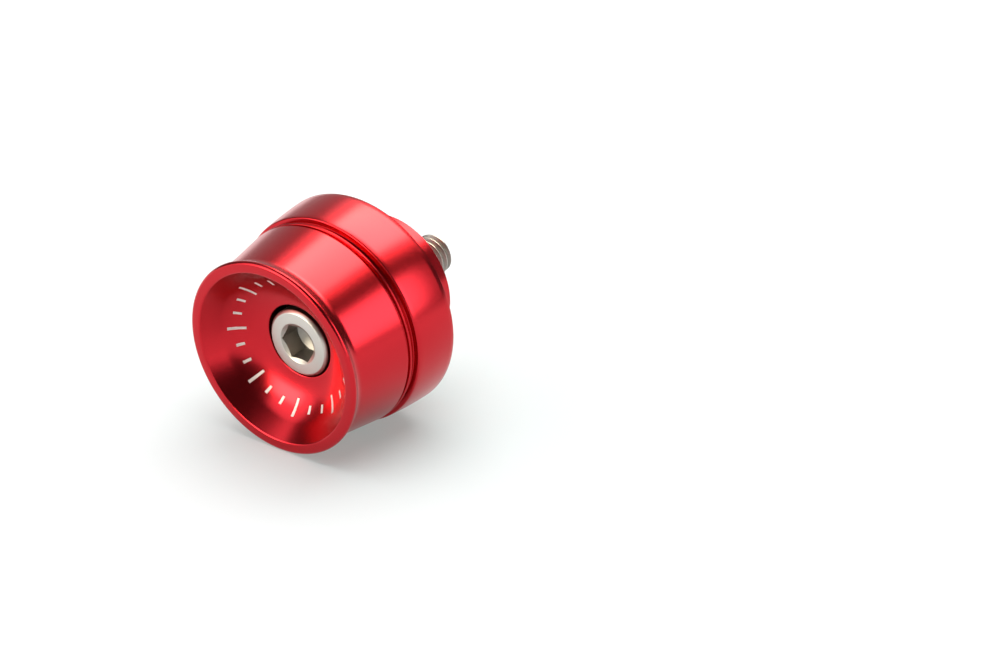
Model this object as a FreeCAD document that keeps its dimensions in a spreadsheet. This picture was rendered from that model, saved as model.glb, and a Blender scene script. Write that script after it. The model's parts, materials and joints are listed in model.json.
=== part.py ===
import FreeCAD
import Part
import Sketcher
import math
import os

# Bar end weight: a turned, anodised aluminium weight that closes the end of a motorbike's handlebar,
# with the socket head cap screw that holds it there.
#
# Each piece is drawn about its own turning axis, +Z. The weight's Z runs from the flat seat that meets
# the handlebar (0) towards the flared lip, and the screw's runs from under its head towards its socket.
# In the part's frame the weight lies on its side as it does when put down, on the rim of its lip and on
# the bulge of its ring. The origin is the centre of the seat, +Z is up, and the lip faces -Y.

doc = FreeCAD.newDocument("bar_end_weight")

# Driving sizes, in millimetres and degrees.
SIZES = [
    ("ring_diameter", "32", "widest part, flush with the grip's end"),
    ("ring_height", "7", "ring, from the seat to the grooves"),
    ("ring_taper", "0.6", "what the ring's radius loses from the seat to the grooves"),
    ("ring_crown_radius", "62", "slight bulge of the ring's outside"),
    ("ring_seat_edge_break", "0.15", "chamfer round the seat"),
    ("ring_top_edge_break", "0.2", "chamfer where the ring drops into the grooves"),
    ("cone_step", "0.44", "radial step from the ring's top edge in to the cone's wide end"),
    ("cone_edge_break", "0.12", "chamfer at the cone's wide end"),
    ("narrow_groove_width", "0.6", "groove beside the cone"),
    ("narrow_groove_depth", "0.5", "its floor under the cone's edge"),
    ("bead_width", "0.4", "narrow bead left between the grooves"),
    ("bead_height", "0.49", "its crest over the narrow groove's floor"),
    ("bead_edge_break", "0.12", "chamfers that leave the bead its small crest"),
    ("wide_groove_width", "0.75", "groove beside the ring"),
    ("wide_groove_depth", "0.4", "its floor under the bead's crest"),
    ("lip_diameter", "28.7", "over the lip's rim"),
    ("lip_round", "0.46", "round of the lip's rim"),
    ("lip_flare", "0.69", "how far the rim stands out over the waist under it"),
    ("lip_face_width", "1.55", "from the rim in to the bowl"),
    ("cove_radius", "2.3", "hollow between the cone and the lip"),
    ("head_height", "19.55", "from the seat to the lip's flat face"),
    ("bowl_mouth_edge_break", "0.15", "chamfer between the face and the bowl"),
    ("bowl_wall_angle", "54.6", "slope of the bowl's straight wall to the face"),
    ("bowl_floor_radius", "8.6", "curve from the wall to the floor"),
    ("bowl_depth", "6", "from the face to the floor's lowest level"),
    ("spigot_diameter", "20", "centres the weight in the bar's bore"),
    ("spigot_length", "7.2", "spigot, from the seat"),
    ("spigot_chamfer", "0.2", "lead-in at the spigot's end"),
    ("thread_diameter", "6", "M6"),
    ("screw_length", "25", "under the head"),
    ("screw_head_diameter", "10", "M6 socket head"),
    ("screw_head_height", "6", "M6 socket head"),
    ("screw_head_chamfer", "0.4", "edge of the head's top"),
    ("screw_neck_flare", "0.25", "thicker neck under the head"),
    ("screw_tip_chamfer", "0.6", "start of the thread"),
    ("socket_across_flats", "5", "hexagon key size"),
    ("socket_depth", "3", "depth of the hexagon's flats"),
    ("socket_mouth_margin", "0.55", "countersink round the flats, in the head's top"),
    ("socket_mouth_angle", "45", "its slope to the head's top"),
    ("socket_drill_angle", "31", "slope of the cone left by the drill"),
    ("screw_seat_height", "8", "counterbore's floor above the seat"),
    ("counterbore_clearance", "0.8", "counterbore wider than the screw's head"),
    ("counterbore_edge_break", "0.2", "chamfer between the counterbore and the bowl"),
    ("screw_hole_clearance", "0.6", "hole wider than the thread, the medium series"),
    ("screw_neck_clearance", "0.1", "chamfer of the hole wider than the neck's flare"),
    ("screw_sag_clearance", "0.02", "left under the shank where the screw lies in its hole"),
]

sheet = doc.addObject("Spreadsheet::Sheet", "Sizes")
for row, (alias, value, note) in enumerate(SIZES, start=1):
    sheet.set("A%d" % row, alias)
    sheet.set("B%d" % row, value)
    sheet.setAlias("B%d" % row, alias)
    sheet.set("C%d" % row, note)
doc.recompute()


def size(alias):
    """A driving size from the sheet."""
    return float(sheet.get(alias))


def origin_plane(body, role):
    """One of the body's own origin planes, such as XZ_Plane."""
    for feature in body.Origin.OriginFeatures:
        if feature.Role == role:
            return feature
    raise ValueError("no plane " + role)


def new_sketch(body, name, role, height=None):
    """A sketch on one of the body's planes, at a height over it that the sheet gives."""
    sketch = body.newObject("Sketcher::SketchObject", name)
    sketch.AttachmentSupport = [(origin_plane(body, role), "")]
    sketch.MapMode = "FlatFace"
    if height:
        sketch.setExpression("AttachmentOffset.Base.z", height)
    return sketch


def point(x, y):
    return FreeCAD.Vector(x, y, 0)


def add_line(sketch, start, end):
    return sketch.addGeometry(Part.LineSegment(start, end), False)


def add_arc(sketch, centre, radius, first, last):
    """An arc that runs anticlockwise from the angle first to the angle last, in radians."""
    circle = Part.Circle(centre, FreeCAD.Vector(0, 0, 1), radius)
    return sketch.addGeometry(Part.ArcOfCircle(circle, first, last), False)


def angle_to(centre, target):
    return math.atan2(target.y - centre.y, target.x - centre.x)


def bind(sketch, name, expression, *constraint):
    """A dimension whose value follows the sheet."""
    index = sketch.addConstraint(Sketcher.Constraint(*constraint))
    sketch.renameConstraint(index, name)
    sketch.setExpression("Constraints." + name, expression)


def relate(sketch, *constraints):
    """Relations without a size, such as Coincident, Tangent and Horizontal."""
    for constraint in constraints:
        sketch.addConstraint(Sketcher.Constraint(*constraint))


def revolve(body, kind, name, sketch):
    """A full turn of a sketch about the body's own axis, added or cut away."""
    feature = body.newObject("PartDesign::" + kind, name)
    feature.Profile = sketch
    feature.ReferenceAxis = (sketch, ["V_Axis"])
    feature.Angle = 360
    sketch.Visibility = False
    doc.recompute()
    return feature


def runs_round(edge, radius, height):
    """True where the whole edge keeps to one radius and one height about the turning axis."""
    for place in edge.discretize(5):
        if abs(math.hypot(place.x, place.y) - radius) > 1e-3 or abs(place.z - height) > 1e-3:
            return False
    return True


def rims(feature, *places):
    """Names of the round edges with these radii and heights."""
    names = []
    for radius, height in places:
        found = []
        for number, edge in enumerate(feature.Shape.Edges, start=1):
            if runs_round(edge, radius, height):
                found.append("Edge%d" % number)
        if not found:
            raise ValueError("no rim of radius %.3f at height %.3f" % (radius, height))
        names += found
    return names


def break_edge(body, name, expression, *places):
    """A chamfer of one size on round edges of the body as it stands."""
    base = body.Tip
    feature = body.newObject("PartDesign::Chamfer", name)
    feature.Base = (base, rims(base, *places))
    feature.setExpression("Size", expression)
    doc.recompute()
    return feature


# The turned weight
weight = doc.addObject("PartDesign::Body", "weight_body")
weight.Label = "weight_body"

spigot_radius = size("spigot_diameter") / 2
spigot_end = -size("spigot_length")
ring_radius = size("ring_diameter") / 2
ring_top = size("ring_height")
ring_top_radius = ring_radius - size("ring_taper")
cone_base_radius = ring_top_radius - size("cone_step")
narrow_floor = cone_base_radius - size("narrow_groove_depth")
bead_radius = narrow_floor + size("bead_height")
wide_floor = bead_radius - size("wide_groove_depth")
bead_low = ring_top + size("wide_groove_width")
bead_high = bead_low + size("bead_width")
cone_base = bead_high + size("narrow_groove_width")
head_height = size("head_height")
lip_radius = size("lip_diameter") / 2
lip_round = size("lip_round")
lip_centre = point(lip_radius - lip_round, head_height - lip_round)

# The ring's outside is an arc through its two edges, bulging by a tenth of a millimetre.
ring_low = point(ring_radius, 0)
ring_high = point(ring_top_radius, ring_top)
crown = size("ring_crown_radius")
ring_chord = ring_high - ring_low
to_centre = math.sqrt(crown ** 2 - ring_chord.Length ** 2 / 4)
inward = point(-ring_chord.y, ring_chord.x) / ring_chord.Length
crown_centre = (ring_low + ring_high) / 2 + inward * to_centre

# The cove is as deep as the lip's flare and touches the round of the rim. The cone's side runs from its
# wide end to where it touches the cove.
cove = size("cove_radius")
cove_out = lip_radius - size("lip_flare") + cove
cove_drop = math.sqrt((cove + lip_round) ** 2 - (cove_out - lip_centre.x) ** 2)
cove_centre = point(cove_out, lip_centre.y - cove_drop)
cove_end = lip_centre + (cove_centre - lip_centre) * (lip_round / (cove + lip_round))
cone_start = point(cone_base_radius, cone_base)
to_cove = cove_centre - cone_start
cone_direction = math.atan2(to_cove.y, to_cove.x) + math.asin(cove / to_cove.Length)
cone_run = math.sqrt(to_cove.Length ** 2 - cove ** 2)
cone_end = cone_start + point(math.cos(cone_direction), math.sin(cone_direction)) * cone_run

# Outside of the turned form, from the spigot's end round the ring, grooves, cone, cove and lip
outline = new_sketch(weight, "turned_outline", "XZ_Plane")
axis_low = point(0, spigot_end)
axis_high = point(0, head_height)
face_outer = point(lip_centre.x, head_height)
spigot_face = add_line(outline, axis_low, point(spigot_radius, spigot_end))
spigot_side = add_line(outline, point(spigot_radius, spigot_end), point(spigot_radius, 0))
seat = add_line(outline, point(spigot_radius, 0), ring_low)
ring_side = add_arc(outline, crown_centre, crown, angle_to(crown_centre, ring_low),
                    angle_to(crown_centre, ring_high))
ring_shoulder = add_line(outline, ring_high, point(wide_floor, ring_top))
wide_groove = add_line(outline, point(wide_floor, ring_top), point(wide_floor, bead_low))
bead_under = add_line(outline, point(wide_floor, bead_low), point(bead_radius, bead_low))
bead_crest = add_line(outline, point(bead_radius, bead_low), point(bead_radius, bead_high))
bead_over = add_line(outline, point(bead_radius, bead_high), point(narrow_floor, bead_high))
narrow_groove = add_line(outline, point(narrow_floor, bead_high), point(narrow_floor, cone_base))
cone_shoulder = add_line(outline, point(narrow_floor, cone_base), cone_start)
cone_side = add_line(outline, cone_start, cone_end)
cove_side = add_arc(outline, cove_centre, cove, angle_to(cove_centre, cove_end) % (2 * math.pi),
                    angle_to(cove_centre, cone_end) % (2 * math.pi))
lip_side = add_arc(outline, lip_centre, lip_round, angle_to(lip_centre, cove_end), math.pi / 2)
face = add_line(outline, face_outer, axis_high)
axis_side = add_line(outline, axis_high, axis_low)

# Ends are given as the sketch counts them: 1 is a start, 2 an end and 3 a centre.
relate(
    outline,
    ("PointOnObject", spigot_face, 1, -2),
    ("Coincident", spigot_face, 2, spigot_side, 1),
    ("Coincident", spigot_side, 2, seat, 1),
    ("Coincident", seat, 2, ring_side, 1),
    ("Coincident", ring_side, 2, ring_shoulder, 1),
    ("Coincident", ring_shoulder, 2, wide_groove, 1),
    ("Coincident", wide_groove, 2, bead_under, 1),
    ("Coincident", bead_under, 2, bead_crest, 1),
    ("Coincident", bead_crest, 2, bead_over, 1),
    ("Coincident", bead_over, 2, narrow_groove, 1),
    ("Coincident", narrow_groove, 2, cone_shoulder, 1),
    ("Coincident", cone_shoulder, 2, cone_side, 1),
    ("Tangent", cone_side, 2, cove_side, 2),
    ("Tangent", cove_side, 1, lip_side, 1),
    ("Tangent", lip_side, 2, face, 1),
    ("Coincident", face, 2, axis_side, 1),
    ("Coincident", axis_side, 2, spigot_face, 1),
    ("Horizontal", spigot_face),
    ("Vertical", spigot_side),
    ("Horizontal", seat),
    ("PointOnObject", seat, 1, -1),
    ("Horizontal", ring_shoulder),
    ("Vertical", wide_groove),
    ("Horizontal", bead_under),
    ("Vertical", bead_crest),
    ("Horizontal", bead_over),
    ("Vertical", narrow_groove),
    ("Horizontal", cone_shoulder),
    ("Horizontal", face),
    ("Vertical", axis_side),
)
bind(outline, "spigot_radius", "Sizes.spigot_diameter / 2",
     "DistanceX", -1, 1, spigot_side, 1, spigot_radius)
bind(outline, "spigot_length", "Sizes.spigot_length",
     "DistanceY", spigot_side, 1, spigot_side, 2, -spigot_end)
bind(outline, "ring_radius", "Sizes.ring_diameter / 2",
     "DistanceX", -1, 1, seat, 2, ring_radius)
bind(outline, "ring_taper", "Sizes.ring_taper",
     "DistanceX", ring_side, 2, ring_side, 1, size("ring_taper"))
bind(outline, "ring_height", "Sizes.ring_height",
     "DistanceY", -1, 1, ring_side, 2, ring_top)
bind(outline, "ring_crown", "Sizes.ring_crown_radius", "Radius", ring_side, crown)
bind(outline, "cone_step", "Sizes.cone_step",
     "DistanceX", cone_side, 1, ring_side, 2, size("cone_step"))
bind(outline, "narrow_groove_depth", "Sizes.narrow_groove_depth",
     "DistanceX", cone_shoulder, 1, cone_shoulder, 2, size("narrow_groove_depth"))
bind(outline, "narrow_groove_width", "Sizes.narrow_groove_width",
     "DistanceY", narrow_groove, 1, narrow_groove, 2, size("narrow_groove_width"))
bind(outline, "bead_height", "Sizes.bead_height",
     "DistanceX", bead_over, 2, bead_over, 1, size("bead_height"))
bind(outline, "bead_width", "Sizes.bead_width",
     "DistanceY", bead_crest, 1, bead_crest, 2, size("bead_width"))
bind(outline, "wide_groove_depth", "Sizes.wide_groove_depth",
     "DistanceX", bead_under, 1, bead_under, 2, size("wide_groove_depth"))
bind(outline, "wide_groove_width", "Sizes.wide_groove_width",
     "DistanceY", wide_groove, 1, wide_groove, 2, size("wide_groove_width"))
bind(outline, "cove", "Sizes.cove_radius", "Radius", cove_side, cove)
bind(outline, "cove_centre", "Sizes.lip_diameter / 2 - Sizes.lip_flare + Sizes.cove_radius",
     "DistanceX", -1, 1, cove_side, 3, cove_out)
bind(outline, "lip_round", "Sizes.lip_round", "Radius", lip_side, lip_round)
bind(outline, "lip_centre", "Sizes.lip_diameter / 2 - Sizes.lip_round",
     "DistanceX", -1, 1, lip_side, 3, lip_centre.x)
bind(outline, "head_height", "Sizes.head_height",
     "DistanceY", -1, 1, face, 1, head_height)
revolve(weight, "Revolution", "turned_form", outline)

# The bowl: a straight wall that runs into a long curve, down to the level of the bowl's floor
mouth_radius = lip_radius - size("lip_face_width")
wall_angle = math.radians(size("bowl_wall_angle"))
floor_curve = size("bowl_floor_radius")
bowl_floor = head_height - size("bowl_depth")
mouth = point(mouth_radius, head_height)
down_wall = point(-math.cos(wall_angle), -math.sin(wall_angle))
into_bowl = point(-math.sin(wall_angle), math.cos(wall_angle))
curve_height = bowl_floor + floor_curve
wall_run = (head_height - curve_height + floor_curve * math.cos(wall_angle)) / math.sin(wall_angle)
wall_end = mouth + down_wall * wall_run
curve_centre = wall_end + into_bowl * floor_curve

bowl = new_sketch(weight, "bowl_outline", "XZ_Plane")
mouth_line = add_line(bowl, point(0, head_height), mouth)
wall = add_line(bowl, mouth, wall_end)
curve = add_arc(bowl, curve_centre, floor_curve, -math.pi / 2, wall_angle - math.pi / 2)
floor = add_line(bowl, point(curve_centre.x, bowl_floor), point(0, bowl_floor))
bowl_axis = add_line(bowl, point(0, bowl_floor), point(0, head_height))
relate(
    bowl,
    ("PointOnObject", mouth_line, 1, -2),
    ("Coincident", mouth_line, 2, wall, 1),
    ("Tangent", wall, 2, curve, 2),
    ("Tangent", curve, 1, floor, 1),
    ("Coincident", floor, 2, bowl_axis, 1),
    ("Coincident", bowl_axis, 2, mouth_line, 1),
    ("Horizontal", mouth_line),
    ("Horizontal", floor),
    ("Vertical", bowl_axis),
)
bind(bowl, "head_height", "Sizes.head_height",
     "DistanceY", -1, 1, mouth_line, 2, head_height)
bind(bowl, "mouth_radius", "Sizes.lip_diameter / 2 - Sizes.lip_face_width",
     "DistanceX", -1, 1, mouth_line, 2, mouth_radius)
bind(bowl, "wall_slope", "180 deg + Sizes.bowl_wall_angle * 1 deg",
     "Angle", wall, math.pi + wall_angle)
bind(bowl, "floor_curve", "Sizes.bowl_floor_radius", "Radius", curve, floor_curve)
bind(bowl, "bowl_depth", "Sizes.bowl_depth",
     "DistanceY", floor, 2, mouth_line, 1, size("bowl_depth"))
revolve(weight, "Groove", "bowl", bowl)

# The screw's counterbored hole, set out from the lip's flat face
counterbore_radius = (size("screw_head_diameter") + size("counterbore_clearance")) / 2
hole_radius = (size("thread_diameter") + size("screw_hole_clearance")) / 2
hole_place = new_sketch(weight, "screw_hole_place", "XY_Plane", "Sizes.head_height")
hole_circle = hole_place.addGeometry(Part.Circle(point(0, 0), FreeCAD.Vector(0, 0, 1), hole_radius), False)
relate(hole_place, ("Coincident", hole_circle, 3, -1, 1))
bind(hole_place, "hole", "Sizes.thread_diameter + Sizes.screw_hole_clearance",
     "Diameter", hole_circle, 2 * hole_radius)
doc.recompute()
before_hole = weight.Tip.Shape.Volume
hole = weight.newObject("PartDesign::Hole", "screw_hole")
hole.Profile = hole_place
hole.Threaded = False
hole.DepthType = "ThroughAll"
hole.DrillPoint = "Flat"
hole.HoleCutType = "Counterbore"
hole.HoleCutCustomValues = True
hole.setExpression("Diameter", "Sizes.thread_diameter + Sizes.screw_hole_clearance")
hole.setExpression("HoleCutDiameter", "Sizes.screw_head_diameter + Sizes.counterbore_clearance")
hole.setExpression("HoleCutDepth", "Sizes.head_height - Sizes.screw_seat_height")
hole_place.Visibility = False
doc.recompute()
print("screw hole takes away %.1f mm3" % (before_hole - weight.Tip.Shape.Volume))

# Where the counterbore breaks into the curve of the bowl's floor
rim_rise = floor_curve - math.sqrt(floor_curve ** 2 - (counterbore_radius - curve_centre.x) ** 2)
counterbore_rim = bowl_floor + rim_rise

break_edge(weight, "screw_hole_chamfer", "Sizes.screw_neck_flare + Sizes.screw_neck_clearance",
           (hole_radius, size("screw_seat_height")))
break_edge(weight, "spigot_chamfer", "Sizes.spigot_chamfer", (spigot_radius, spigot_end))
break_edge(weight, "counterbore_edge", "Sizes.counterbore_edge_break",
           (counterbore_radius, counterbore_rim))
break_edge(weight, "bowl_mouth_edge", "Sizes.bowl_mouth_edge_break", (mouth_radius, head_height))
break_edge(weight, "cone_edge", "Sizes.cone_edge_break", (cone_base_radius, cone_base))
break_edge(weight, "bead_edges", "Sizes.bead_edge_break",
           (bead_radius, bead_low), (bead_radius, bead_high))
break_edge(weight, "ring_top_edge", "Sizes.ring_top_edge_break", (ring_top_radius, ring_top))
break_edge(weight, "ring_seat_edge", "Sizes.ring_seat_edge_break", (ring_radius, 0))

# The cap screw, from the plane under its head
screw = doc.addObject("PartDesign::Body", "cap_screw")
screw.Label = "cap_screw"

head_radius = size("screw_head_diameter") / 2
head_top = size("screw_head_height")
thread_radius = size("thread_diameter") / 2
tip = -size("screw_length")

blank = new_sketch(screw, "screw_outline", "XZ_Plane")
tip_face = add_line(blank, point(0, tip), point(thread_radius, tip))
shank = add_line(blank, point(thread_radius, tip), point(thread_radius, 0))
bearing = add_line(blank, point(thread_radius, 0), point(head_radius, 0))
head_side = add_line(blank, point(head_radius, 0), point(head_radius, head_top))
head_face = add_line(blank, point(head_radius, head_top), point(0, head_top))
screw_axis = add_line(blank, point(0, head_top), point(0, tip))
relate(
    blank,
    ("PointOnObject", tip_face, 1, -2),
    ("Coincident", tip_face, 2, shank, 1),
    ("Coincident", shank, 2, bearing, 1),
    ("Coincident", bearing, 2, head_side, 1),
    ("Coincident", head_side, 2, head_face, 1),
    ("Coincident", head_face, 2, screw_axis, 1),
    ("Coincident", screw_axis, 2, tip_face, 1),
    ("Horizontal", tip_face),
    ("Vertical", shank),
    ("Horizontal", bearing),
    ("PointOnObject", bearing, 1, -1),
    ("Vertical", head_side),
    ("Horizontal", head_face),
    ("Vertical", screw_axis),
)
bind(blank, "thread_radius", "Sizes.thread_diameter / 2",
     "DistanceX", -1, 1, shank, 1, thread_radius)
bind(blank, "screw_length", "Sizes.screw_length", "DistanceY", shank, 1, shank, 2, -tip)
bind(blank, "head_radius", "Sizes.screw_head_diameter / 2",
     "DistanceX", -1, 1, head_side, 1, head_radius)
bind(blank, "head_height", "Sizes.screw_head_height",
     "DistanceY", head_side, 1, head_side, 2, head_top)
revolve(screw, "Revolution", "screw_blank", blank)
break_edge(screw, "neck_flare", "Sizes.screw_neck_flare", (thread_radius, 0))
break_edge(screw, "head_chamfer", "Sizes.screw_head_chamfer", (head_radius, head_top))
break_edge(screw, "tip_chamfer", "Sizes.screw_tip_chamfer", (thread_radius, tip))

# The hexagon socket. Two of its corners lie level, so that a flat is at the top.
socket_flat = size("socket_across_flats") / 2
corner_radius = socket_flat / math.cos(math.radians(30))
hexagon = new_sketch(screw, "socket_outline", "XY_Plane", "Sizes.screw_head_height")
corners = []
for number in range(6):
    turn = math.radians(60 * number)
    corners.append(point(corner_radius * math.cos(turn), corner_radius * math.sin(turn)))
flats = []
for number in range(6):
    flats.append(add_line(hexagon, corners[number], corners[(number + 1) % 6]))
guide = hexagon.addGeometry(Part.Circle(point(0, 0), FreeCAD.Vector(0, 0, 1), socket_flat), True)
relate(hexagon, ("Coincident", guide, 3, -1, 1))
for number in range(6):
    relate(hexagon, ("Coincident", flats[number], 2, flats[(number + 1) % 6], 1))
    relate(hexagon, ("Tangent", flats[number], guide))
for number in range(1, 5):
    relate(hexagon, ("Equal", flats[0], flats[number]))
relate(hexagon, ("Horizontal", flats[1]))
bind(hexagon, "across_flats", "Sizes.socket_across_flats", "Diameter", guide, 2 * socket_flat)
doc.recompute()
before_socket = screw.Tip.Shape.Volume
socket = screw.newObject("PartDesign::Pocket", "hexagon_socket")
socket.Profile = hexagon
socket.Type = "Length"
socket.setExpression("Length", "Sizes.socket_depth")
hexagon.Visibility = False
doc.recompute()
print("hexagon socket takes away %.1f mm3" % (before_socket - screw.Tip.Shape.Volume))

# The countersink round the socket's mouth and the cone that the drill left at its bottom are one cut,
# joined down the middle by a core that is already open.
mouth_edge = socket_flat + size("socket_mouth_margin")
mouth_fall = math.tan(math.radians(size("socket_mouth_angle")))
socket_floor = head_top - size("socket_depth")
drill_fall = math.tan(math.radians(size("socket_drill_angle")))
mouth_low = head_top - (mouth_edge - socket_flat) * mouth_fall
drill_tip = socket_floor - socket_flat * drill_fall

drilling = new_sketch(screw, "socket_drilling", "XZ_Plane")
drill_face = add_line(drilling, point(0, head_top), point(mouth_edge, head_top))
countersink = add_line(drilling, point(mouth_edge, head_top), point(socket_flat, mouth_low))
core = add_line(drilling, point(socket_flat, mouth_low), point(socket_flat, socket_floor))
drill_cone = add_line(drilling, point(socket_flat, socket_floor), point(0, drill_tip))
drill_axis = add_line(drilling, point(0, drill_tip), point(0, head_top))
relate(
    drilling,
    ("PointOnObject", drill_face, 1, -2),
    ("Coincident", drill_face, 2, countersink, 1),
    ("Coincident", countersink, 2, core, 1),
    ("Coincident", core, 2, drill_cone, 1),
    ("Coincident", drill_cone, 2, drill_axis, 1),
    ("Coincident", drill_axis, 2, drill_face, 1),
    ("Horizontal", drill_face),
    ("Vertical", core),
    ("Vertical", drill_axis),
)
bind(drilling, "head_top", "Sizes.screw_head_height",
     "DistanceY", -1, 1, drill_face, 2, head_top)
bind(drilling, "mouth_radius", "Sizes.socket_across_flats / 2 + Sizes.socket_mouth_margin",
     "DistanceX", -1, 1, drill_face, 2, mouth_edge)
bind(drilling, "core_radius", "Sizes.socket_across_flats / 2",
     "DistanceX", -1, 1, core, 1, socket_flat)
bind(drilling, "mouth_slope", "180 deg + Sizes.socket_mouth_angle * 1 deg",
     "Angle", countersink, math.pi + math.radians(size("socket_mouth_angle")))
bind(drilling, "socket_depth", "Sizes.socket_depth",
     "DistanceY", core, 2, drill_face, 2, size("socket_depth"))
bind(drilling, "drill_slope", "180 deg + Sizes.socket_drill_angle * 1 deg",
     "Angle", drill_cone, math.pi + math.radians(size("socket_drill_angle")))
revolve(screw, "Groove", "socket_mouth_and_drilling", drilling)

# How the part lies: one level line touches the round of the lip and the bulging side of the ring. It leans
# from the axis by the slope of the line between the middles of the two curves, less what their radii take
# back. The weight's own +Y then points up, and the screw has sunk in its hole.
pose = doc.addObject("Spreadsheet::Sheet", "Pose")
POSE = [
    ("lip_centre_out", "=Sizes.lip_diameter / 2 - Sizes.lip_round"),
    ("lip_centre_up", "=Sizes.head_height - Sizes.lip_round"),
    ("ring_chord", "=sqrt(Sizes.ring_taper ^ 2 + Sizes.ring_height ^ 2)"),
    ("crown_back", "=sqrt(Sizes.ring_crown_radius ^ 2 - ring_chord ^ 2 / 4)"),
    ("crown_out", "=(Sizes.ring_diameter - Sizes.ring_taper) / 2"
                  " - crown_back * Sizes.ring_height / ring_chord"),
    ("crown_up", "=Sizes.ring_height / 2 - crown_back * Sizes.ring_taper / ring_chord"),
    ("fall", "=lip_centre_out - crown_out"),
    ("run", "=lip_centre_up - crown_up"),
    ("lean", "=atan(run / fall)"
             " - acos((Sizes.ring_crown_radius - Sizes.lip_round) / sqrt(fall ^ 2 + run ^ 2))"),
    ("sag", "=Sizes.screw_hole_clearance / 2 - Sizes.screw_sag_clearance"),
]
for row, (alias, formula) in enumerate(POSE, start=1):
    pose.set("A%d" % row, alias)
    pose.setAlias("B%d" % row, alias)
    pose.set("B%d" % row, formula)
doc.recompute()

for body in (weight, screw):
    body.Placement = FreeCAD.Placement(FreeCAD.Vector(0, 0, 0), FreeCAD.Rotation(FreeCAD.Vector(1, 0, 0), 90))
    body.setExpression("Placement.Rotation.Angle", "90 deg + Pose.lean")
screw.setExpression("Placement.Base.y",
                    "-Sizes.screw_seat_height * cos(Pose.lean) + Pose.sag * sin(Pose.lean)")
screw.setExpression("Placement.Base.z",
                    "-Sizes.screw_seat_height * sin(Pose.lean) - Pose.sag * cos(Pose.lean)")
doc.recompute()

for item in doc.Objects:
    if "Invalid" in item.State or "Error" in item.State:
        raise RuntimeError(item.Name + " did not come out")
os.makedirs("parts", exist_ok=True)
for body in (weight, screw):
    if body.Shape.isNull() or not body.Shape.isValid():
        raise RuntimeError(body.Label + " has no sound shape")
    body.Shape.exportStep("parts/" + body.Label + ".step")
    box = body.Shape.BoundBox
    print("%s: %.0f mm3, X %.2f %.2f, Y %.2f %.2f, Z %.2f %.2f" % (
        body.Label, body.Shape.Volume, box.XMin, box.XMax, box.YMin, box.YMax, box.ZMin, box.ZMax))
print("leans %.3f degrees, screw sinks %.3f mm" % (float(pose.get("lean")), float(pose.get("sag"))))
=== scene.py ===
import bmesh
import bpy
import json
import math
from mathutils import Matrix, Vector


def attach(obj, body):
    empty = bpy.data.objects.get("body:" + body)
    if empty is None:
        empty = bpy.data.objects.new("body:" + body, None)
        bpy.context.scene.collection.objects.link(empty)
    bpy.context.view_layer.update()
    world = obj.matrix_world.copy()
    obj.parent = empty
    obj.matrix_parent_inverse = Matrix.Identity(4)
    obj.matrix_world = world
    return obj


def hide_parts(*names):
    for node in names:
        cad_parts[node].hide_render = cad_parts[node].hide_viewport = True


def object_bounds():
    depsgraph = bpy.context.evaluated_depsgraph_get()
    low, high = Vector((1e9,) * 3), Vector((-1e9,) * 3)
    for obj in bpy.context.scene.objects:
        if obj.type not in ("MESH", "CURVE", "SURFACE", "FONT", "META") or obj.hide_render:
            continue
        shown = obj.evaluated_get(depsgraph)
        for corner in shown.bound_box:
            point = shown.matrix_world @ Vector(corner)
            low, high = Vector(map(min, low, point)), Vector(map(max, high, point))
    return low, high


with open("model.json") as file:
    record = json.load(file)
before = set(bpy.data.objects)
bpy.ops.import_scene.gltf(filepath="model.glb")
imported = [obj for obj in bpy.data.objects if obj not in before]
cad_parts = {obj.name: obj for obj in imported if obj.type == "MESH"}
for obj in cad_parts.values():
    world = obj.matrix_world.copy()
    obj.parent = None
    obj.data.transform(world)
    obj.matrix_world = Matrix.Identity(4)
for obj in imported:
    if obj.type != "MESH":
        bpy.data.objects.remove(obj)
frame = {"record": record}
cad_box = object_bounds()

# Weight
# One turned piece of aluminium: flared lip with a bowl in its face, long cone, two grooves with a bead
# between them, a ring as wide as the grip, and the spigot that goes into the bar. It is drawn in
# millimetres about its turning axis, with the seat at height 0 and the lip upwards, and then laid down.
spigot_mount = next(mount for mount in frame["record"]["mounts"] if mount["name"] == "spigot")
lean = math.asin(spigot_mount["axis"][2])
millimetre = 0.001


def edit_mesh():
    return bmesh.from_edit_mesh(bpy.context.object.data)


def start_outline(name, radius, height):
    """A new piece in edit mode, with the first point of its outline selected."""
    bpy.ops.object.select_all(action="DESELECT")
    bpy.ops.mesh.primitive_plane_add(size=1, location=(0, 0, 0))
    piece = bpy.context.object
    piece.name = name
    bpy.ops.object.mode_set(mode="EDIT")
    bpy.ops.mesh.select_mode(type="VERT")
    bpy.ops.mesh.select_all(action="SELECT")
    bpy.ops.mesh.merge(type="CENTER")
    bpy.ops.transform.translate(value=(radius, 0, height))
    return piece


def pen():
    """Radius and height of the outline's selected point."""
    here = [corner.co for corner in edit_mesh().verts if corner.select][0]
    return Vector((here.x, here.z))


def line_to(radius, height):
    """Carries the outline on in a straight line."""
    here = pen()
    step = (radius - here.x, 0, height - here.y)
    bpy.ops.mesh.extrude_region_move(TRANSFORM_OT_translate={"value": step})


def arc_to(radius, height, centre, steps):
    """Carries the outline on round a centre, the short way."""
    arm = pen() - centre
    start = math.atan2(arm.y, arm.x)
    turn = math.atan2(height - centre.y, radius - centre.x) - start
    turn -= math.tau * round(turn / math.tau)
    for step in range(1, steps + 1):
        angle = start + turn * step / steps
        line_to(centre.x + arm.length * math.cos(angle), centre.y + arm.length * math.sin(angle))


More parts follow.
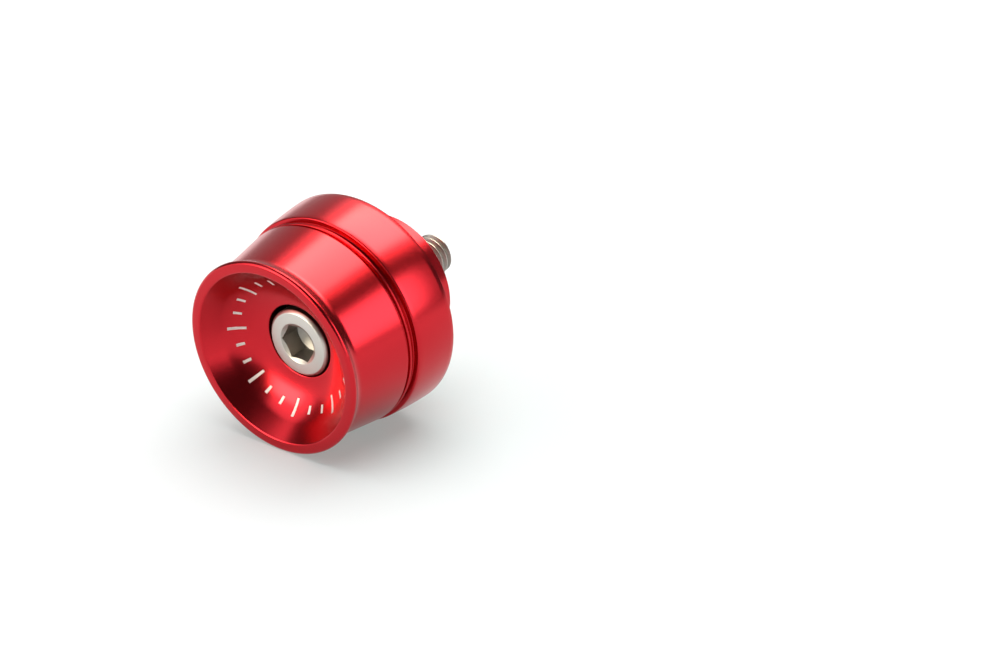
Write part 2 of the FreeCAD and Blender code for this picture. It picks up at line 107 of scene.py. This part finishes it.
def full_turn(steps):
    """Turns the outline all the way round its axis and closes the seam and the poles."""
    bpy.ops.mesh.select_all(action="SELECT")
    bpy.ops.mesh.spin(steps=steps, angle=math.tau, center=(0, 0, 0), axis=(0, 0, 1))
    bpy.ops.mesh.select_all(action="SELECT")
    bpy.ops.mesh.remove_doubles(threshold=1e-4)
    bpy.ops.mesh.normals_make_consistent(inside=False)


def select_where(kind, test):
    """Selects the edges or faces that pass a test, and nothing else."""
    bpy.ops.mesh.select_mode(type=kind)
    bpy.ops.mesh.select_all(action="DESELECT")
    mesh = edit_mesh()
    for part in (mesh.edges if kind == "EDGE" else mesh.faces):
        if test(part):
            part.select_set(True)
    bmesh.update_edit_mesh(bpy.context.object.data)


def round_rim(*places, width, segments):
    """Rounds the circular edges at these radii and heights."""
    near = 2e-3

    def on_rim(edge):
        for radius, height in places:
            if all(abs(math.hypot(end.co.x, end.co.y) - radius) < near and abs(end.co.z - height) < near
                   for end in edge.verts):
                return True
        return False

    select_where("EDGE", on_rim)
    bpy.ops.mesh.bevel(offset=width, segments=segments, affect="EDGES")


def pick(piece):
    bpy.ops.object.select_all(action="DESELECT")
    piece.select_set(True)
    bpy.context.view_layer.objects.active = piece


def lay_down(piece, height=0.0, sink=0.0):
    """Sets the drawn piece at its height over the seat, lays it on its side and gives it its real size."""
    pick(piece)
    piece.scale = (millimetre, millimetre, millimetre)
    piece.rotation_euler = (math.radians(90) + lean, 0, 0)
    piece.location = (0,
                      millimetre * (sink * math.sin(lean) - height * math.cos(lean)),
                      -millimetre * (sink * math.cos(lean) + height * math.sin(lean)))
    bpy.ops.object.transform_apply(location=True, rotation=True, scale=True)


def smooth(piece, degrees):
    """Smooth shading up to an angle, with the wide bands kept true beside their small rounds."""
    pick(piece)
    bpy.ops.object.shade_smooth_by_angle(angle=math.radians(degrees))
    even = piece.modifiers.new("even_shading", "WEIGHTED_NORMAL")
    even.keep_sharp = True
    even.weight = 100
    bpy.ops.object.modifier_apply(modifier=even.name)


hole_radius = 3.3
spigot_radius = 10.0
spigot_end = -7.2
spigot_chamfer = 0.2
ring_radius = 16.0
ring_top_radius = 15.4
ring_top = 7.0
ring_crown_radius = 62.0
wide_groove_radius = 14.55
bead_radius = 14.95
bead_low = 7.75
bead_high = 8.15
narrow_groove_radius = 14.46
cone_base_radius = 14.96
cone_base = 8.75
cove_radius = 2.3
lip_radius = 14.35
lip_round = 0.46
lip_flare = 0.69
head_height = 19.55
mouth_radius = 12.8
wall_angle = math.radians(54.6)
floor_curve = 8.6
bowl_floor = 13.55
counterbore_radius = 5.4
screw_seat = 8.0
hole_chamfer = 0.35
turn_steps = 288

# The outside of the ring bulges by a tenth of a millimetre. The cove is as deep as the lip's flare and
# touches the round of the lip, and the cone's side runs from its wide end to touch the cove.
ring_chord = Vector((ring_top_radius - ring_radius, ring_top))
crown_back = math.sqrt(ring_crown_radius ** 2 - ring_chord.length ** 2 / 4)
crown_centre = (Vector((ring_radius + ring_top_radius, ring_top)) / 2
                - crown_back * Vector((ring_chord.y, -ring_chord.x)) / ring_chord.length)
lip_centre = Vector((lip_radius - lip_round, head_height - lip_round))
cove_out = lip_radius - lip_flare + cove_radius
cove_drop = math.sqrt((cove_radius + lip_round) ** 2 - (cove_out - lip_centre.x) ** 2)
cove_centre = Vector((cove_out, lip_centre.y - cove_drop))
cove_end = lip_centre + (cove_centre - lip_centre) * lip_round / (cove_radius + lip_round)
to_cove = cove_centre - Vector((cone_base_radius, cone_base))
cone_direction = math.atan2(to_cove.y, to_cove.x) + math.asin(cove_radius / to_cove.length)
cone_run = math.sqrt(to_cove.length ** 2 - cove_radius ** 2)
cone_end = Vector((cone_base_radius + cone_run * math.cos(cone_direction),
                   cone_base + cone_run * math.sin(cone_direction)))

# The bowl's wall falls straight from the mouth and runs into the long curve of the floor.
wall_run = ((head_height - bowl_floor - floor_curve + floor_curve * math.cos(wall_angle))
            / math.sin(wall_angle))
wall_end = Vector((mouth_radius - wall_run * math.cos(wall_angle),
                   head_height - wall_run * math.sin(wall_angle)))
curve_centre = wall_end + floor_curve * Vector((-math.sin(wall_angle), math.cos(wall_angle)))


def bowl_height(radius):
    """Height of the bowl's curve over the seat at this radius."""
    return curve_centre.y - math.sqrt(floor_curve ** 2 - (radius - curve_centre.x) ** 2)


weight = start_outline("turned_weight", hole_radius, spigot_end)
line_to(spigot_radius - spigot_chamfer, spigot_end)
line_to(spigot_radius, spigot_end + spigot_chamfer)
line_to(spigot_radius, 0)
line_to(ring_radius, 0)
arc_to(ring_top_radius, ring_top, crown_centre, steps=8)
line_to(wide_groove_radius, ring_top)
line_to(wide_groove_radius, bead_low)
line_to(bead_radius, bead_low)
line_to(bead_radius, bead_high)
line_to(narrow_groove_radius, bead_high)
line_to(narrow_groove_radius, cone_base)
line_to(cone_base_radius, cone_base)
line_to(cone_end.x, cone_end.y)
arc_to(cove_end.x, cove_end.y, cove_centre, steps=12)
arc_to(lip_centre.x, head_height, lip_centre, steps=10)
line_to(mouth_radius, head_height)
line_to(wall_end.x, wall_end.y)
arc_to(counterbore_radius, bowl_height(counterbore_radius), curve_centre, steps=20)
line_to(counterbore_radius, screw_seat)
line_to(hole_radius + hole_chamfer, screw_seat)
line_to(hole_radius, screw_seat - hole_chamfer)
line_to(hole_radius, spigot_end)
full_turn(turn_steps)

round_rim((ring_radius, 0), width=0.15, segments=2)
round_rim((ring_top_radius, ring_top), width=0.2, segments=4)
round_rim((wide_groove_radius, ring_top), (wide_groove_radius, bead_low),
          (narrow_groove_radius, bead_high), (narrow_groove_radius, cone_base), width=0.1, segments=3)
round_rim((bead_radius, bead_low), (bead_radius, bead_high), width=0.18, segments=4)
round_rim((cone_base_radius, cone_base), width=0.12, segments=3)
round_rim((mouth_radius, head_height), width=0.18, segments=4)
round_rim((counterbore_radius, bowl_height(counterbore_radius)), width=0.15, segments=4)
bpy.ops.object.mode_set(mode="OBJECT")
lay_down(weight)
smooth(weight, degrees=40)
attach(weight, "root")
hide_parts("weight_body")


def linear(hex_colour):
    """A colour as written for the screen, turned to the renderer's linear values."""
    values = []
    for place in (1, 3, 5):
        value = int(hex_colour[place:place + 2], 16) / 255
        values.append(value / 12.92 if value <= 0.04045 else ((value + 0.055) / 1.055) ** 2.4)
    return (*values, 1.0)


def new_material(name):
    material = bpy.data.materials.new(name)
    material.use_nodes = True
    material.node_tree.nodes.clear()
    return material, material.node_tree


def add_node(tree, kind, inputs=None, **settings):
    """One node with its settings, and its inputs given as plain values or as other nodes' outputs."""
    made = tree.nodes.new(kind)
    for name, value in settings.items():
        setattr(made, name, value)
    for name, value in (inputs or {}).items():
        if isinstance(value, bpy.types.NodeSocket):
            tree.links.new(value, made.inputs[name])
        else:
            made.inputs[name].default_value = value
    return made


def on_axis(tree, sink=0.0):
    """Places on the piece, turned so that Z is its turning axis. They stay in metres."""
    place = add_node(tree, "ShaderNodeTexCoord")
    turned = add_node(tree, "ShaderNodeMapping", {"Vector": place.outputs["Object"],
                                                  "Location": (0, millimetre * sink, 0),
                                                  "Rotation": (-math.radians(90) - lean, 0, 0)})
    return turned.outputs["Vector"]


def from_axis(tree, place):
    """How far these places are from the turning axis."""
    across = add_node(tree, "ShaderNodeVectorMath", {0: place, 1: (1, 1, 0)}, operation="MULTIPLY")
    return add_node(tree, "ShaderNodeVectorMath", {0: across.outputs["Vector"]},
                    operation="LENGTH").outputs["Value"]


def tool_rings(tree, width, sink=0.0):
    """A pattern that changes only outwards and along the axis, in steps about this many metres wide."""
    place = on_axis(tree, sink)
    along = add_node(tree, "ShaderNodeSeparateXYZ", {"Vector": place})
    rings = add_node(tree, "ShaderNodeCombineXYZ", {"X": from_axis(tree, place), "Z": along.outputs["Z"]})
    return add_node(tree, "ShaderNodeTexNoise", {"Vector": rings.outputs["Vector"], "Scale": 1 / width,
                                                 "Detail": 2.0}).outputs["Fac"]


# Aluminium turned to a fine satin and anodised red: a metal's own reflections, tinted by the dye, under a
# clear skin of oxide that turns them white at low angles. The tool's marks are 0.1 mm apart, and are
# drawn 0.3 mm apart so that they show. The etched grain is 0.1 mm.
red_anodised, tree = new_material("red_anodised_aluminium")
rings = tool_rings(tree, 0.3 * millimetre)
grain = add_node(tree, "ShaderNodeTexNoise", {"Vector": on_axis(tree), "Scale": 1 / (0.1 * millimetre),
                                              "Detail": 2.0})
uneven = add_node(tree, "ShaderNodeMath", {0: rings, 1: grain.outputs["Fac"]}, operation="ADD")
gloss = add_node(tree, "ShaderNodeMapRange", {"Value": uneven.outputs["Value"], "From Max": 2.0,
                                              "To Min": 0.25, "To Max": 0.262})
ridges = add_node(tree, "ShaderNodeBump", {"Height": rings, "Strength": 0.05, "Distance": 0.002 * millimetre})
finish = add_node(tree, "ShaderNodeBsdfPrincipled",
                  {"Base Color": linear("#BF242D"), "Metallic": 1.0, "Roughness": gloss.outputs["Result"],
                   "Normal": ridges.outputs["Normal"],
                   "Coat Weight": 0.2, "Coat Roughness": 0.2, "Coat IOR": 1.3})
add_node(tree, "ShaderNodeOutputMaterial", {"Surface": finish.outputs["BSDF"]})
weight.data.materials.clear()
weight.data.materials.append(red_anodised)

# Laser marks
# The laser burns the red away down to pale bare metal, so the marks have no height of their own. They are
# a plain scale of long and short strokes round the bowl, in a skin a hundredth of a millimetre proud.
marks_round = 24
long_every = 3
long_mark = (8.5, 10.55)
short_mark = (9.05, 10.0)
half_stroke = math.tau / turn_steps


def beside_strokes(face):
    """True for the faces of the drawn band that the laser leaves red."""
    middle = face.calc_center_median()
    radius = math.hypot(middle.x, middle.y)
    turn = math.atan2(middle.y, middle.x) * marks_round / math.tau
    inner, outer = long_mark if round(turn) % long_every == 0 else short_mark
    return (not inner < radius < outer
            or abs(turn - round(turn)) * math.tau / marks_round > half_stroke)


laser_marks = start_outline("laser_marks", long_mark[1], bowl_height(long_mark[1]))
for radius in (short_mark[1], short_mark[0], long_mark[0]):
    arc_to(radius, bowl_height(radius), curve_centre, steps=3)
full_turn(turn_steps)
select_where("FACE", beside_strokes)
bpy.ops.mesh.delete(type="FACE")
bpy.ops.object.mode_set(mode="OBJECT")
lay_down(laser_marks)
skin = laser_marks.modifiers.new("skin", "SOLIDIFY")
skin.thickness = 0.02 * millimetre
skin.offset = 0
bpy.ops.object.modifier_apply(modifier=skin.name)
bpy.ops.object.shade_smooth_by_angle(angle=math.radians(40))
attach(laser_marks, "root")

# Bare aluminium that the laser has left rough: pale, without gloss.
marked, tree = new_material("laser_marked_aluminium")
grit = add_node(tree, "ShaderNodeTexNoise", {"Vector": on_axis(tree), "Scale": 1 / (0.12 * millimetre),
                                             "Detail": 2.0})
burn = add_node(tree, "ShaderNodeMix", {"Factor": grit.outputs["Fac"], 6: linear("#E6E0DA"),
                                        7: linear("#FAF7F4")}, data_type="RGBA")
finish = add_node(tree, "ShaderNodeBsdfPrincipled", {"Base Color": burn.outputs[2], "Metallic": 0.5,
                                                     "Roughness": 0.6})
add_node(tree, "ShaderNodeOutputMaterial", {"Surface": finish.outputs["BSDF"]})
laser_marks.data.materials.clear()
laser_marks.data.materials.append(marked)

# Cap screw
# A stainless M6 socket head cap screw, 25 mm under the head, sunk in its counterbore. The thread is rolled,
# the head is turned bright, and the hexagon socket is pressed over a drilled cone.
head_radius = 5.0
head_top = 6.0
head_chamfer = 0.4
neck_flare = 0.25
thread_radius = 3.0
thread_root = 2.387
thread_pitch = 1.0
thread_turns = 30
crest_flat = 0.09
crest_round = 0.04
root_flat = 0.166
screw_tip = -25.0
tip_chamfer = 0.6
socket_flat = 2.5
socket_floor = 3.0
socket_mouth = 3.05
mouth_low = 5.68
drill_tip = socket_floor - socket_flat * math.tan(math.radians(31))
screw_sag = 0.28


def boolean(piece, other, operation):
    """Cuts, joins or trims a piece with another and takes the other away."""
    pick(piece)
    change = piece.modifiers.new(operation.lower(), "BOOLEAN")
    change.operation = operation
    change.solver = "EXACT"
    change.object = other
    bpy.ops.object.modifier_apply(modifier=change.name)
    bpy.data.objects.remove(other)


# The thread is one pitch of its outline, wound past both ends and cut off square with some to spare. The
# shank's own outline then trims it to its chamfered tip and to the end that is joined inside the head.
in_head = 0.5
spare = 0.5
thread_foot = screw_tip - 2 * thread_pitch
crest_low = (thread_pitch - crest_flat) / 2
crest_high = thread_pitch - crest_low
thread = start_outline("thread", thread_root, thread_foot)
for radius, rise in ((thread_root, root_flat / 2), (thread_radius - crest_round, crest_low - crest_round),
                     (thread_radius, crest_low), (thread_radius, crest_high),
                     (thread_radius - crest_round, crest_high + crest_round),
                     (thread_root, thread_pitch - root_flat / 2), (thread_root, thread_pitch)):
    line_to(radius, thread_foot + rise)
bpy.ops.object.mode_set(mode="OBJECT")
winding = thread.modifiers.new("winding", "SCREW")
winding.screw_offset = thread_pitch
winding.iterations = thread_turns
winding.steps = 64
winding.render_steps = 64
winding.use_merge_vertices = True
winding.merge_threshold = 1e-4
bpy.ops.object.modifier_apply(modifier=winding.name)
bpy.ops.object.mode_set(mode="EDIT")
bpy.ops.mesh.select_mode(type="VERT")
bpy.ops.mesh.select_all(action="SELECT")
bpy.ops.mesh.remove_doubles(threshold=1e-4)
for height, upper in ((screw_tip - spare, False), (in_head + spare, True)):
    bpy.ops.mesh.select_all(action="SELECT")
    bpy.ops.mesh.bisect(plane_co=(0, 0, height), plane_no=(0, 0, 1), use_fill=True,
                        clear_inner=not upper, clear_outer=upper)
bpy.ops.mesh.select_all(action="SELECT")
bpy.ops.mesh.normals_make_consistent(inside=False)
bpy.ops.object.mode_set(mode="OBJECT")

past_crest = 0.01
shank = start_outline("shank", 0, screw_tip)
line_to(thread_radius - tip_chamfer, screw_tip)
line_to(thread_radius + past_crest, screw_tip + tip_chamfer + past_crest)
line_to(thread_radius + past_crest, in_head)
line_to(0, in_head)
full_turn(steps=96)
bpy.ops.object.mode_set(mode="OBJECT")
boolean(thread, shank, "INTERSECT")

# The head is turned with a short neck under it, which narrows into the thread's core.
neck_length = 0.8
neck_foot = -neck_flare - neck_length
below_root = 0.2
screw = start_outline("cap_screw_turned", 0, neck_foot)
line_to(thread_root - below_root, neck_foot)
line_to(thread_radius, -neck_flare)
line_to(thread_radius + neck_flare, 0)
line_to(head_radius, 0)
line_to(head_radius, head_top - head_chamfer)
line_to(head_radius - head_chamfer, head_top)
line_to(0, head_top)
full_turn(steps=128)
round_rim((head_radius, 0), width=0.12, segments=3)
round_rim((head_radius, head_top - head_chamfer), (head_radius - head_chamfer, head_top),
          width=0.07, segments=3)
bpy.ops.object.mode_set(mode="OBJECT")

bpy.ops.object.select_all(action="DESELECT")
bpy.ops.mesh.primitive_cylinder_add(vertices=6, radius=socket_flat / math.cos(math.radians(30)),
                                    depth=head_top, location=(0, 0, socket_floor + head_top / 2),
                                    rotation=(0, 0, math.radians(30)))
hexagon = bpy.context.object
bpy.ops.object.transform_apply(location=True, rotation=True, scale=True)
boolean(screw, hexagon, "DIFFERENCE")

over_head = 0.5
mouth_slope = (socket_mouth - socket_flat) / (head_top - mouth_low)
drilling = start_outline("drilling", 0, head_top + over_head)
line_to(socket_mouth + over_head * mouth_slope, head_top + over_head)
line_to(socket_flat, mouth_low)
line_to(socket_flat, socket_floor)
line_to(0, drill_tip)
full_turn(steps=96)
bpy.ops.object.mode_set(mode="OBJECT")
boolean(screw, drilling, "DIFFERENCE")
boolean(screw, thread, "UNION")
lay_down(screw, height=screw_seat, sink=screw_sag)
smooth(screw, degrees=25)
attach(screw, "root")
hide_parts("cap_screw")

# Stainless steel: grey and warmer than aluminium. The head's face has the fine rings of its turning. The
# rolled thread and the pressed socket, within 3 mm of the axis, are duller. Their darker grey is partly their
# own and partly painted shade, which tones down the thread's highlights. The head's side and the outer part
# of its
# chamfer are painted darker still: painted shade for the gap in the counterbore, which also narrows the
# chamfer's highlight.
steel, tree = new_material("stainless_steel")
rings = tool_rings(tree, 0.18 * millimetre, screw_sag)
outward = from_axis(tree, on_axis(tree, screw_sag))
inside = add_node(tree, "ShaderNodeMapRange", {"Value": outward,
                                               "From Min": (thread_radius + 0.05) * millimetre,
                                               "From Max": (thread_radius - 0.05) * millimetre})
# Painted shade: the head's side and the outer part of its chamfer are darkened as if in the counterbore's
# gap.
side_shade = add_node(tree, "ShaderNodeMapRange", {"Value": outward,
                                                "From Min": (head_radius - 0.25) * millimetre,
                                                "From Max": (head_radius - 0.05) * millimetre})
turned_gloss = add_node(tree, "ShaderNodeMapRange", {"Value": rings, "To Min": 0.3, "To Max": 0.4})
gloss = add_node(tree, "ShaderNodeMath", {0: inside.outputs["Result"], 1: 0.1,
                                          2: turned_gloss.outputs["Result"]}, operation="MULTIPLY_ADD")
# Partly painted shade: the darker grey within 3 mm of the axis tones down the thread's highlights and the
# shade between its turns.
pressed_and_shaded = add_node(tree, "ShaderNodeMix", {"Factor": inside.outputs["Result"], 6: linear("#C8C4BE"),
                                           7: linear("#A8A39C")}, data_type="RGBA")
shade = add_node(tree, "ShaderNodeMix", {"Factor": side_shade.outputs["Result"], 6: pressed_and_shaded.outputs[2],
                                         7: linear("#837D76")}, data_type="RGBA")
ridges = add_node(tree, "ShaderNodeBump", {"Height": rings, "Strength": 0.2, "Distance": 0.002 * millimetre})
finish = add_node(tree, "ShaderNodeBsdfPrincipled",
                  {"Base Color": shade.outputs[2], "Metallic": 1.0, "Roughness": gloss.outputs["Value"],
                   "Normal": ridges.outputs["Normal"]})
add_node(tree, "ShaderNodeOutputMaterial", {"Surface": finish.outputs["BSDF"]})
screw.data.materials.clear()
screw.data.materials.append(steel)

# Floor
# White paper, wide enough to fill every view. It glows more with distance, so that the ground stays white
# out to the edges of the picture while the shadow stays. Close to the object the glow is faintly green-blue,
# against the red that the object throws on it.
floor_height = cad_box[0].z
bpy.ops.object.select_all(action="DESELECT")
bpy.ops.mesh.primitive_plane_add(size=6, location=(0, 0, floor_height))
sweep = bpy.context.object
sweep.name = "floor"
paper, tree = new_material("white_paper")
# The paper's own colour is faintly green-blue too, against the red light that the object throws on it.
lit = add_node(tree, "ShaderNodeBsdfDiffuse", {"Color": linear("#CBCECD")})
ray = add_node(tree, "ShaderNodeLightPath")
direct = add_node(tree, "ShaderNodeMath", {0: ray.outputs["Is Camera Ray"], 1: ray.outputs["Is Glossy Ray"]},
                  operation="ADD")
seen = add_node(tree, "ShaderNodeMath", {0: direct.outputs["Value"], 1: ray.outputs["Is Transmission Ray"]},
                operation="ADD", use_clamp=True)
place = add_node(tree, "ShaderNodeTexCoord")
away = add_node(tree, "ShaderNodeVectorMath", {0: place.outputs["Object"]}, operation="LENGTH")
fade = add_node(tree, "ShaderNodeMapRange", {"Value": away.outputs["Value"], "From Min": 0.03,
                                             "From Max": 0.25, "To Min": 0.32, "To Max": 0.7})
lift = add_node(tree, "ShaderNodeMath", {0: seen.outputs["Value"], 1: fade.outputs["Result"]},
                operation="MULTIPLY")
tint = add_node(tree, "ShaderNodeMapRange", {"Value": away.outputs["Value"], "From Min": 0.014,
                                             "From Max": 0.04})
glow_colour = add_node(tree, "ShaderNodeMix", {"Factor": tint.outputs["Result"], 6: linear("#E4FFFB"),
                                               7: linear("#FFFFFF")}, data_type="RGBA")
glow = add_node(tree, "ShaderNodeEmission", {"Color": glow_colour.outputs[2],
                                             "Strength": lift.outputs["Value"]})
finish = add_node(tree, "ShaderNodeAddShader", {0: lit.outputs["BSDF"], 1: glow.outputs["Emission"]})
add_node(tree, "ShaderNodeOutputMaterial", {"Surface": finish.outputs["Shader"]})
sweep.data.materials.append(paper)

# Lamps
# For the metal, a bright soft box with a dimmer cloth round it hangs behind the object, a tall one stands at
# the right, a low one with its cloth at the left, and a small strip in front. The paper and what else is matt
# have a soft light of their own from the ceiling and a screen at the left, so the shadow can be as pale as it
# is in the photograph. Brightness 1 shows as white.
camera_azimuth = 36.25
lamp_distance = 0.6


def way_to(azimuth, elevation):
    """The direction this many degrees round from the camera, towards its right, and this many up."""
    turn = math.radians(camera_azimuth + azimuth)
    rise = math.radians(elevation)
    return Vector((math.sin(turn) * math.cos(rise), -math.cos(turn) * math.cos(rise), math.sin(rise)))


def softbox(name, azimuth, elevation, width, height, brightness, colour="#FFFFFF", *, shines_on):
    """A lamp, sized in metres, that faces the object and shines on its metal's gloss or on the matt paper."""
    outward = way_to(azimuth, elevation)
    light = bpy.data.lights.new(name, "AREA")
    light.shape = "RECTANGLE"
    light.size = width
    light.size_y = height
    light.energy = brightness * math.pi * width * height
    light.color = linear(colour)[:3]
    lamp = bpy.data.objects.new(name, light)
    lamp.location = outward * lamp_distance
    lamp.rotation_euler = outward.to_track_quat("Z", "Y").to_euler()
    lamp.visible_camera = False
    lamp.visible_diffuse = shines_on == "paper"
    lamp.visible_glossy = shines_on == "metal"
    bpy.context.scene.collection.objects.link(lamp)


softbox("overhead_box", 150, 63, 0.50, 0.27, 12.5, "#FFF3D6", shines_on="metal")
softbox("overhead_cloth", 152, 58, 0.78, 0.48, 1.1, shines_on="metal")
softbox("right_box", 69, 21, 0.33, 0.36, 4.0, shines_on="metal")
softbox("front_strip", 29, 6, 0.12, 0.16, 3.2, shines_on="metal")
softbox("left_box", -57, 14, 0.38, 0.25, 7.0, "#FFF3D6", shines_on="metal")
softbox("left_cloth", -69, 26, 0.54, 0.58, 1.8, shines_on="metal")
softbox("left_screen", -80, 36, 0.64, 0.48, 1.15, shines_on="paper")
softbox("ceiling_box", 165, 80, 0.75, 0.75, 3.2, shines_on="paper")

# Backdrop
# White paper rises behind the object, and its metal shows that too, softly ended. The rest of the room is
# dark, which gives the metal its dark bands.
world = bpy.data.worlds.new("studio")
bpy.context.scene.world = world
world.use_nodes = True
world.node_tree.nodes.clear()
tree = world.node_tree
backdrop_middle = way_to(188, 15)
backdrop_inner = 20
backdrop_outer = 45
direction = add_node(tree, "ShaderNodeTexCoord")
facing = add_node(tree, "ShaderNodeVectorMath", {0: direction.outputs["Generated"], 1: backdrop_middle},
                  operation="DOT_PRODUCT")
edge = add_node(tree, "ShaderNodeMapRange", {"Value": facing.outputs["Value"],
                                             "From Min": math.cos(math.radians(backdrop_outer)),
                                             "From Max": math.cos(math.radians(backdrop_inner)),
                                             "To Min": 0.06, "To Max": 0.5})
room = add_node(tree, "ShaderNodeBackground", {"Color": linear("#FFFFFF"),
                                               "Strength": edge.outputs["Result"]})
white = add_node(tree, "ShaderNodeBackground", {"Color": linear("#FFFFFF"), "Strength": 1.0})
ray = add_node(tree, "ShaderNodeLightPath")
shown = add_node(tree, "ShaderNodeMixShader", {0: ray.outputs["Is Camera Ray"],
                                               1: room.outputs["Background"],
                                               2: white.outputs["Background"]})
add_node(tree, "ShaderNodeOutputWorld", {"Surface": shown.outputs["Shader"]})

scene = bpy.context.scene
scene.view_settings.view_transform = "Standard"

# Camera
# A long lens, as for a product photograph, that looks down on the object from beside its lip.
lens = bpy.data.cameras.new("camera")
lens.lens = 101.06
lens.sensor_width = 36.0
lens.clip_start = 0.01
lens.clip_end = 20.0
camera = bpy.data.objects.new("camera", lens)
camera.location = (0.22426, -0.27342, 0.16590)
camera.rotation_euler = (math.radians(64.175), math.radians(-0.752), math.radians(36.612))
scene.collection.objects.link(camera)
scene.camera = camera
